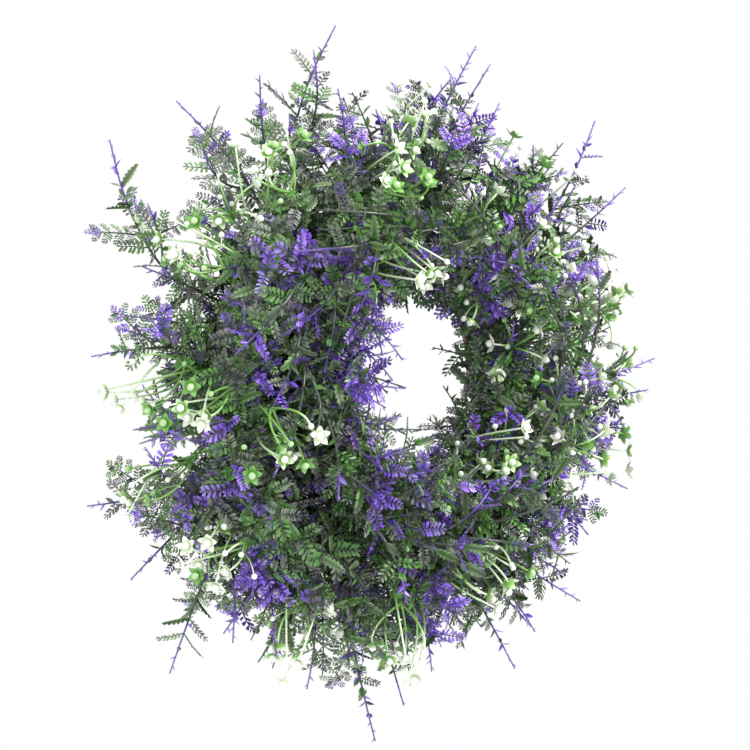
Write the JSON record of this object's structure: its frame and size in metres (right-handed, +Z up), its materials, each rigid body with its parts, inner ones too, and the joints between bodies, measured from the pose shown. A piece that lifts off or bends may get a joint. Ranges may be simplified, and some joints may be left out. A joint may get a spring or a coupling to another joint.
{
  "type": "hanging wreath",
  "caption": "Round wall wreath of moulded lavender picks and white-bud sprays on a twisted vine hoop, open in the middle, hung by the hoop.",
  "frame": {"origin": "where the hoop hangs: on the wall plane, level with the hoop's top inner edge, in its middle", "axes": "+Y into the wall, so the wreath faces -Y; +X to the right as the wreath is seen from the front; +Z up"},
  "size_m": [0.4207, 0.1672, 0.4584],
  "materials": {
    "vine_bark": "matt",
    "lavender_plastic": "matt",
    "bud_spray_plastic": "satin"
  },
  "bodies": {
    "root": {"vine_1": "vine_bark", "vine_2": "vine_bark", "vine_3": "vine_bark", "vine_4": "vine_bark", "lavender_top_1": "lavender_plastic", "lavender_top_2": "lavender_plastic", "lavender_top_3": "lavender_plastic", "lavender_top_left_1": "lavender_plastic", "lavender_top_left_2": "lavender_plastic", "lavender_top_left_3": "lavender_plastic", "lavender_top_right_1": "lavender_plastic", "lavender_top_right_2": "lavender_plastic", "lavender_top_right_3": "lavender_plastic", "lavender_right_1": "lavender_plastic", "lavender_right_2": "lavender_plastic", "lavender_right_3": "lavender_plastic", "lavender_right_4": "lavender_plastic", "lavender_right_5": "lavender_plastic", "lavender_bottom_1": "lavender_plastic", "lavender_bottom_2": "lavender_plastic", "lavender_bottom_3": "lavender_plastic", "lavender_bottom_4": "lavender_plastic", "lavender_bottom_5": "lavender_plastic", "lavender_left_1": "lavender_plastic", "lavender_left_2": "lavender_plastic", "lavender_left_3": "lavender_plastic", "lavender_face_1": "lavender_plastic", "lavender_face_2": "lavender_plastic", "lavender_face_3": "lavender_plastic", "lavender_face_4": "lavender_plastic", "lavender_face_5": "lavender_plastic", "bud_spray_arch": "bud_spray_plastic", "bud_spray_stars": "bud_spray_plastic", "bud_spray_top_left": "bud_spray_plastic", "bud_spray_left_1": "bud_spray_plastic", "bud_spray_left_2": "bud_spray_plastic", "bud_spray_left_3": "bud_spray_plastic", "bud_spray_left_4": "bud_spray_plastic", "bud_spray_low_left": "bud_spray_plastic", "bud_spray_bottom_1": "bud_spray_plastic", "bud_spray_bottom_2": "bud_spray_plastic", "bud_spray_bottom_3": "bud_spray_plastic", "bud_spray_right_1": "bud_spray_plastic", "bud_spray_right_2": "bud_spray_plastic", "bud_spray_right_3": "bud_spray_plastic", "bud_spray_right_4": "bud_spray_plastic", "bud_spray_top_right": "bud_spray_plastic", "bud_spray_top": "bud_spray_plastic", "bud_spray_top_face": "bud_spray_plastic", "leafy_shoot_1": "lavender_plastic", "leafy_shoot_2": "lavender_plastic", "leafy_shoot_3": "lavender_plastic", "leafy_shoot_4": "lavender_plastic", "leafy_shoot_5": "lavender_plastic", "leafy_shoot_6": "lavender_plastic", "leafy_shoot_7": "lavender_plastic", "leafy_shoot_9": "lavender_plastic", "leafy_shoot_10": "lavender_plastic", "leafy_shoot_11": "lavender_plastic"}
  },
  "joints": []
}
